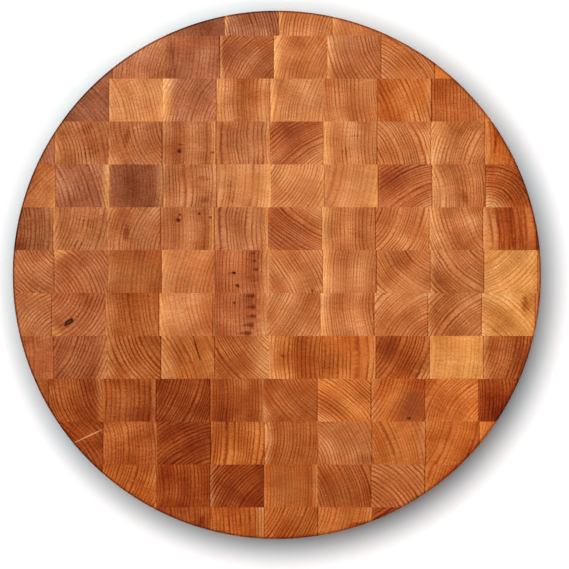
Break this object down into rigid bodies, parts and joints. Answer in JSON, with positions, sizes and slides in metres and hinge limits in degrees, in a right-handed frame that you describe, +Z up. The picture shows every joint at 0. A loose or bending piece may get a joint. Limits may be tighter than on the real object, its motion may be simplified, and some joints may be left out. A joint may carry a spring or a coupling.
{
  "type": "round chopping block",
  "caption": "Thick round end-grain chopping block: staggered strips of glued hardwood blocks, sawn to a disc with bevelled rims, flat and usable on both faces.",
  "frame": {"origin": "middle of the underside, on the disc's axis, at the plane it rests on", "axes": "+Z up through the work face; the glued strips run along X, and +Y points to the back, which is the top of the reference view"},
  "size_m": [0.4572, 0.4572, 0.0762],
  "materials": {
    "oiled_cherry": "sanded and oiled end grain, satin"
  },
  "bodies": {
    "root": {"back_strip_1_left_block_5": "oiled_cherry", "back_strip_1_right_block_5": "oiled_cherry", "back_strip_1_right_block_6": "oiled_cherry", "back_strip_1_whole_blocks": "oiled_cherry", "back_strip_2_left_block_5": "oiled_cherry", "back_strip_2_right_block_5": "oiled_cherry", "back_strip_2_whole_blocks": "oiled_cherry", "back_strip_3_left_block_4": "oiled_cherry", "back_strip_3_left_block_5": "oiled_cherry", "back_strip_3_right_block_5": "oiled_cherry", "back_strip_3_whole_blocks": "oiled_cherry", "back_strip_4_left_block_4": "oiled_cherry", "back_strip_4_right_block_4": "oiled_cherry", "back_strip_4_right_block_5": "oiled_cherry", "back_strip_4_whole_blocks": "oiled_cherry", "back_strip_5_left_block_2": "oiled_cherry", "back_strip_5_left_block_3": "oiled_cherry", "back_strip_5_left_block_4": "oiled_cherry", "back_strip_5_right_block_3": "oiled_cherry", "back_strip_5_right_block_4": "oiled_cherry", "back_strip_5_whole_blocks": "oiled_cherry", "back_strip_6_left_block_1": "oiled_cherry", "back_strip_6_left_block_2": "oiled_cherry", "back_strip_6_left_block_3": "oiled_cherry", "back_strip_6_right_block_1": "oiled_cherry", "back_strip_6_right_block_2": "oiled_cherry", "front_strip_1_left_block_5": "oiled_cherry", "front_strip_1_right_block_5": "oiled_cherry", "front_strip_1_right_block_6": "oiled_cherry", "front_strip_1_whole_blocks": "oiled_cherry", "front_strip_2_left_block_5": "oiled_cherry", "front_strip_2_right_block_5": "oiled_cherry", "front_strip_2_whole_blocks": "oiled_cherry", "front_strip_3_left_block_4": "oiled_cherry", "front_strip_3_left_block_5": "oiled_cherry", "front_strip_3_right_block_5": "oiled_cherry", "front_strip_3_whole_blocks": "oiled_cherry", "front_strip_4_left_block_4": "oiled_cherry", "front_strip_4_right_block_4": "oiled_cherry", "front_strip_4_right_block_5": "oiled_cherry", "front_strip_4_whole_blocks": "oiled_cherry", "front_strip_5_left_block_3": "oiled_cherry", "front_strip_5_left_block_4": "oiled_cherry", "front_strip_5_right_block_3": "oiled_cherry", "front_strip_5_right_block_4": "oiled_cherry", "front_strip_5_whole_blocks": "oiled_cherry", "front_strip_6_left_block_1": "oiled_cherry", "front_strip_6_left_block_2": "oiled_cherry", "front_strip_6_left_block_3": "oiled_cherry", "front_strip_6_right_block_1": "oiled_cherry", "front_strip_6_right_block_2": "oiled_cherry", "front_strip_6_right_block_3": "oiled_cherry", "middle_strip_left_block_5": "oiled_cherry", "middle_strip_right_block_6": "oiled_cherry", "middle_strip_whole_blocks": "oiled_cherry"}
  },
  "joints": []
}
